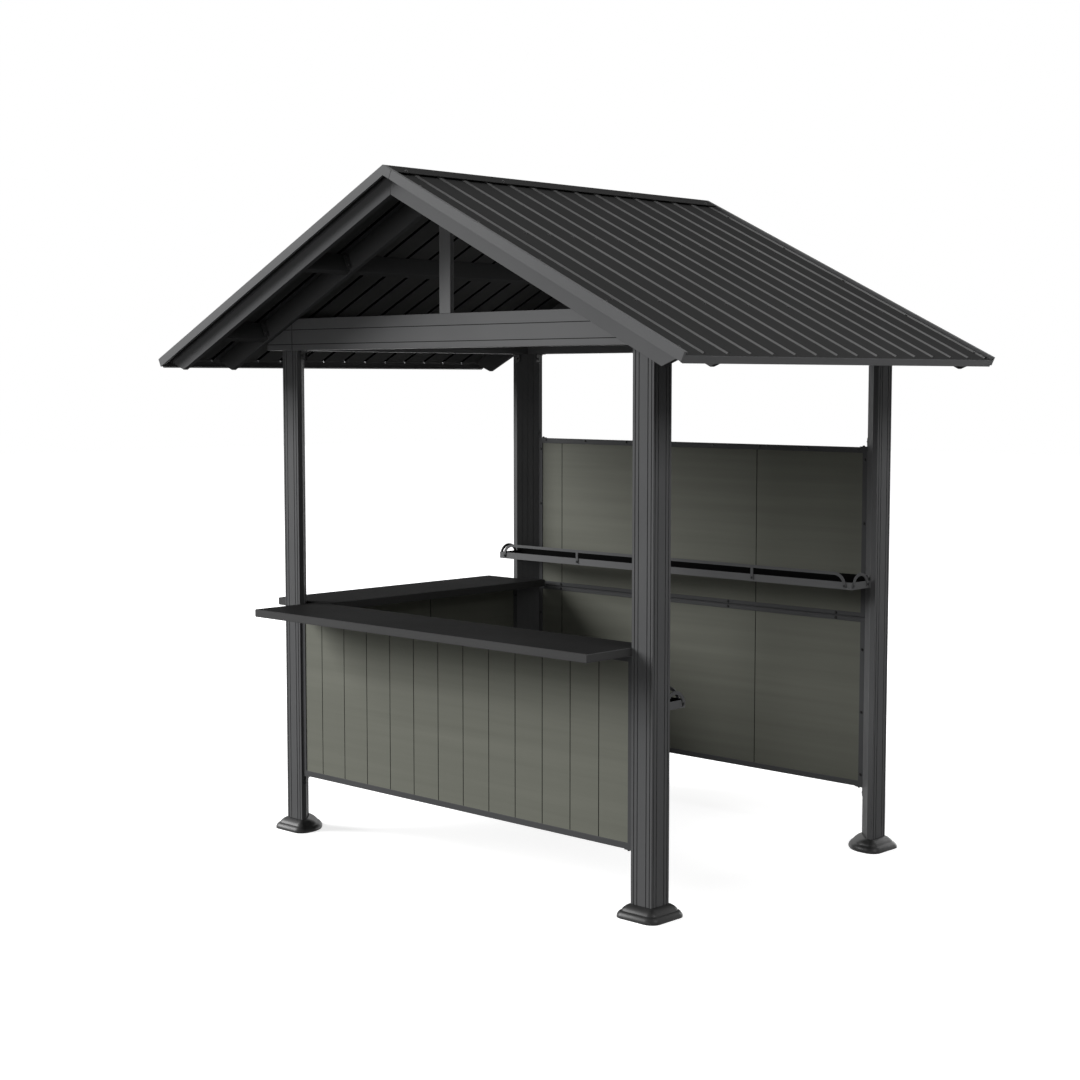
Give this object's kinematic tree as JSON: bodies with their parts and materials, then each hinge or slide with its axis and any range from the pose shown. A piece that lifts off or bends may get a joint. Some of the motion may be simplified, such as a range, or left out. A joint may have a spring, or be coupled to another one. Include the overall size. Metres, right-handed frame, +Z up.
{
  "type": "grill gazebo",
  "caption": "Hardtop grill gazebo with a ribbed steel gable roof on fluted posts, low walls with bar counters at the front and side, a tall back wall and railed shelves.",
  "frame": {"origin": "on the ground, at the middle of the roof's plan", "axes": "+Z up, +X across the gable towards the open side, +Y along the ridge towards the tall back wall; the front gable faces -Y"},
  "size_m": [3, 1.996, 2.825],
  "materials": {
    "frame_coat": "satin charcoal powder coat",
    "roof_coat": "satin dark charcoal coat on steel sheet",
    "panel_coat": "matte olive grey with a fine brushed grain",
    "counter_coat": "satin near-black powder coat",
    "cover_plastic": "fine-grained dark moulded plastic",
    "galvanised_steel": "bare galvanised steel"
  },
  "bodies": {
    "root": {"front_left_post": "frame_coat", "front_right_post": "frame_coat", "back_left_post": "frame_coat", "back_right_post": "frame_coat", "anchor_plates": "galvanised_steel", "front_left_base_cover": "cover_plastic", "front_right_base_cover": "cover_plastic", "back_left_base_cover": "cover_plastic", "back_right_base_cover": "cover_plastic", "front_beam": "frame_coat", "back_beam": "frame_coat", "left_beam": "frame_coat", "right_beam": "frame_coat", "fly_rafter_left": "frame_coat", "fly_rafter_right": "frame_coat", "front_rafter_left": "frame_coat", "front_rafter_right": "frame_coat", "back_rafter_left": "frame_coat", "back_rafter_right": "frame_coat", "front_king_post": "frame_coat", "back_king_post": "frame_coat", "ridge_beam": "frame_coat", "left_purlins": "frame_coat", "right_purlins": "frame_coat", "roof_sheet_left": "roof_coat", "roof_sheet_right": "roof_coat", "ridge_cap": "roof_coat", "front_rake_trim_left": "roof_coat", "front_rake_trim_right": "roof_coat", "back_rake_trim_left": "roof_coat", "back_rake_trim_right": "roof_coat", "eave_trim_left": "roof_coat", "eave_trim_right": "roof_coat", "front_wall_frame": "frame_coat", "front_wall_panel": "panel_coat", "left_wall_frame": "frame_coat", "left_wall_panel": "panel_coat", "back_wall_lower_frame": "frame_coat", "back_wall_lower_panel": "panel_coat", "back_wall_upper_frame": "frame_coat", "back_wall_upper_panel": "panel_coat", "front_counter": "counter_coat", "left_counter": "counter_coat", "upper_shelf": "counter_coat", "upper_shelf_rails": "frame_coat", "lower_shelf": "counter_coat", "lower_shelf_rails": "frame_coat"}
  },
  "joints": []
}
